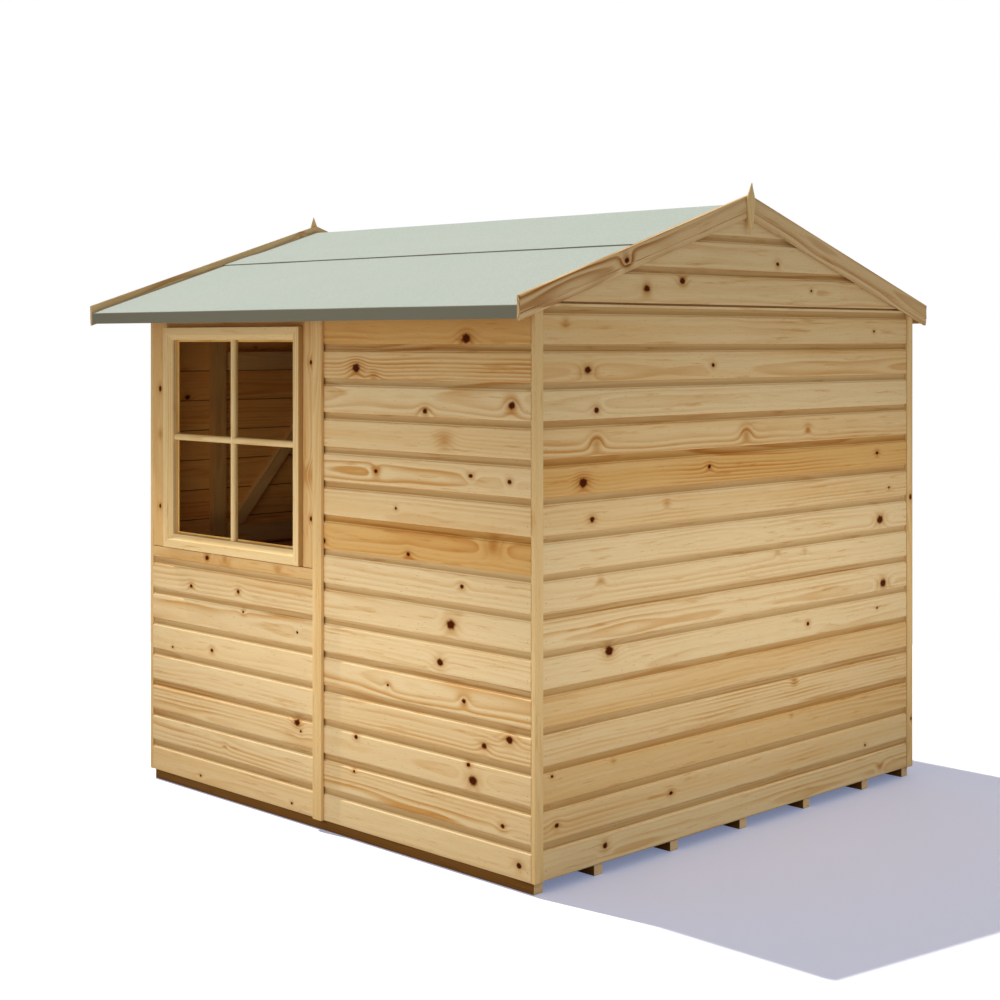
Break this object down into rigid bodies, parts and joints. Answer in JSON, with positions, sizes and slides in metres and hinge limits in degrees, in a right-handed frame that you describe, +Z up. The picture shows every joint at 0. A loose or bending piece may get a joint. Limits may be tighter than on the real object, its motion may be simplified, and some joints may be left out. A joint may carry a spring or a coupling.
{
  "type": "wooden garden shed",
  "caption": "Timber garden shed of shiplap panels with a felted apex roof, a front canopy, a fixed side window, barge boards with finials and a pair of outward doors.",
  "frame": {"origin": "on the ground at the middle of the footprint, on the underside of the middle floor bearer", "axes": "+Z up; +X out of the long side with the window; +Y out of the plain rear gable; the doors and the canopy are at -Y"},
  "size_m": [2.166, 2.305, 2.132],
  "materials": {
    "pine_boards": "planed pine shiplap, honey coloured, bare or thinly stained",
    "pine_trim": "planed pine strip",
    "framing": "sawn softwood",
    "roof_boards": "thin sawn boards",
    "floor_boards": "planed boards",
    "roof_felt": "mineral-faced roofing felt, pale grey-green, matte",
    "window_glass": "clear",
    "black_iron": "black japanned"
  },
  "bodies": {
    "root": {"window_panel_cladding": "pine_boards", "window_surround_boards": "pine_boards", "window_side_rear_cladding": "pine_boards", "blind_side_front_cladding": "pine_boards", "blind_side_rear_cladding": "pine_boards", "rear_wall_cladding": "pine_boards", "rear_gable_cladding": "pine_boards", "front_wall_right_cladding": "pine_boards", "front_wall_left_cladding": "pine_boards", "door_header": "pine_boards", "front_gable_cladding": "pine_boards", "window_frame": "pine_trim", "corner_strips": "pine_trim", "side_joint_strips": "pine_trim", "window_side_barges": "pine_trim", "blind_side_barges": "pine_trim", "finials": "pine_trim", "window_side_frame": "framing", "blind_side_frame": "framing", "rear_wall_frame": "framing", "front_wall_frame": "framing", "gable_frames": "framing", "roof_purlins": "framing", "eave_battens": "framing", "floor_bearers": "framing", "window_side_roof": "roof_boards", "blind_side_roof": "roof_boards", "floor_deck": "floor_boards", "window_side_felt": "roof_felt", "blind_side_felt": "roof_felt", "ridge_felt": "roof_felt", "window_glass": "window_glass", "hinge_plates": "black_iron"},
    "right_door": {"right_door_boards": "pine_boards", "right_door_ledges": "framing", "right_door_straps": "black_iron", "door_bolt": "black_iron"},
    "left_door": {"left_door_boards": "pine_boards", "left_door_ledges": "framing", "left_door_straps": "black_iron", "bolt_keeper": "black_iron"}
  },
  "joints": [
    {"name": "right_door_hinge", "type": "hinge", "parent": "root", "child": "right_door", "pos_m": [0.6945, -0.988, 0.8625], "axis": [0, 0, 1], "range_deg": [0, 110]},
    {"name": "left_door_hinge", "type": "hinge", "parent": "root", "child": "left_door", "pos_m": [-0.6945, -0.988, 0.8625], "axis": [0, 0, -1], "range_deg": [0, 110]}
  ]
}
